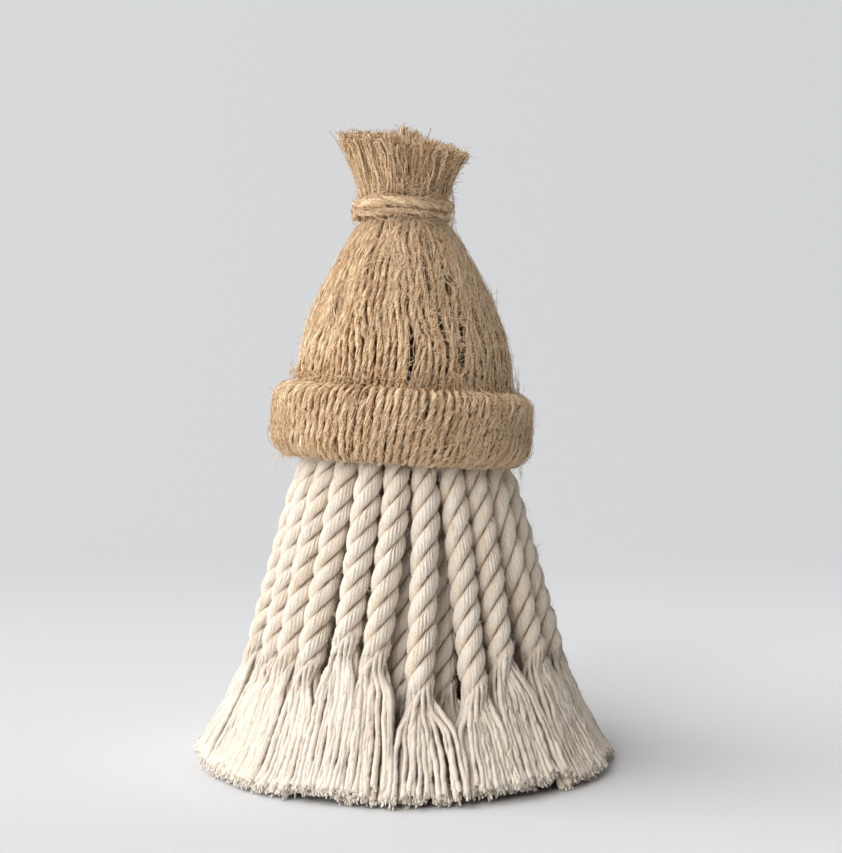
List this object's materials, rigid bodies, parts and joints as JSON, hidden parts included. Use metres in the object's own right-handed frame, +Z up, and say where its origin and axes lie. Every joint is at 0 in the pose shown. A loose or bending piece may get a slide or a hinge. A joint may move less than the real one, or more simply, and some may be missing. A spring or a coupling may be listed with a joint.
{
  "type": "fabric gnome ornament",
  "caption": "Free-standing gnome ornament: a ribbed hat of looped jute twine, tied into a tuft, on a flared skirt of twisted cotton cords that end in a loose yarn fringe.",
  "frame": {"origin": "centre of the board's underside, on the table", "axes": "+Z up through the tuft, -Y towards the front shown in the picture, +X to its right"},
  "size_m": [0.09, 0.0894, 0.1402],
  "materials": {
    "cotton_cord": "natural undyed three-strand twisted cotton, matt, ends unravelled into loose yarn",
    "jute_twine": "natural two-ply jute twine, matt with a slight fibre sheen and loose hairs",
    "brown_board": "dark brown pressed fibreboard with a plain cut edge",
    "kraft_card": "plain brown kraft board",
    "fibre_filling": "loose brown jute fibre combed out of twine offcuts, out of sight"
  },
  "bodies": {
    "root": {"base_board": "brown_board", "card_cone": "kraft_card", "inner_cord_01": "cotton_cord", "inner_cord_02": "cotton_cord", "inner_cord_03": "cotton_cord", "inner_cord_04": "cotton_cord", "inner_cord_05": "cotton_cord", "inner_cord_06": "cotton_cord", "inner_cord_07": "cotton_cord", "inner_cord_08": "cotton_cord", "inner_cord_09": "cotton_cord", "inner_cord_10": "cotton_cord", "inner_cord_11": "cotton_cord", "inner_cord_12": "cotton_cord", "inner_cord_13": "cotton_cord", "inner_cord_14": "cotton_cord", "inner_cord_15": "cotton_cord", "inner_cord_16": "cotton_cord", "outer_cord_01": "cotton_cord", "outer_cord_02": "cotton_cord", "outer_cord_03": "cotton_cord", "outer_cord_04": "cotton_cord", "outer_cord_05": "cotton_cord", "outer_cord_06": "cotton_cord", "outer_cord_07": "cotton_cord", "outer_cord_08": "cotton_cord", "outer_cord_09": "cotton_cord", "outer_cord_10": "cotton_cord", "outer_cord_11": "cotton_cord", "outer_cord_12": "cotton_cord", "outer_cord_13": "cotton_cord", "outer_cord_14": "cotton_cord", "outer_cord_15": "cotton_cord", "outer_cord_16": "cotton_cord", "outer_cord_17": "cotton_cord", "outer_cord_18": "cotton_cord", "outer_cord_19": "cotton_cord", "outer_cord_20": "cotton_cord", "outer_cord_21": "cotton_cord", "outer_cord_22": "cotton_cord", "outer_cord_23": "cotton_cord", "cord_binding": "jute_twine", "brim_ring": "kraft_card", "hat_strands_01": "jute_twine", "hat_strands_02": "jute_twine", "hat_strands_03": "jute_twine", "hat_strands_04": "jute_twine", "hat_strands_05": "jute_twine", "hat_strands_06": "jute_twine", "hat_strands_07": "jute_twine", "hat_strands_08": "jute_twine", "hat_strands_09": "jute_twine", "hat_strands_10": "jute_twine", "hat_strands_11": "jute_twine", "hat_strands_12": "jute_twine", "hat_strands_13": "jute_twine", "hat_strands_14": "jute_twine", "crown_filling": "fibre_filling", "neck_tie": "jute_twine"}
  },
  "joints": []
}
